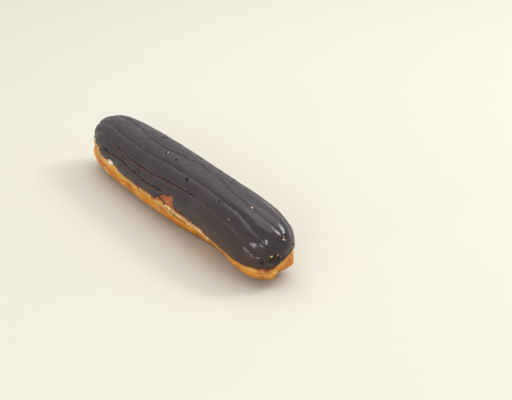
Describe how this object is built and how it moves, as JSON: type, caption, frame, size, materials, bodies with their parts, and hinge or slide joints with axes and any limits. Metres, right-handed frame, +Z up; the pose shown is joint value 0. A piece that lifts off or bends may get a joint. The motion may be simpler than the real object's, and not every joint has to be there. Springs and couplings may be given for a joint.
{
  "type": "chocolate eclair",
  "caption": "Long choux pastry finger with piped ridges, its top half coated in dark chocolate icing, golden crust showing below the icing.",
  "frame": {"origin": "centre of the eclair in plan, on its flat underside", "axes": "+X along the eclair, +Z up, -Y the side that the picture shows"},
  "size_m": [0.162, 0.0333, 0.0309],
  "materials": {
    "choux": "baked golden crust, matte with a slight sheen",
    "icing": "set dark chocolate icing, satin",
    "cream": "soft whipped cream"
  },
  "bodies": {
    "root": {"choux": "choux", "icing": "icing", "cream": "cream"}
  },
  "joints": []
}
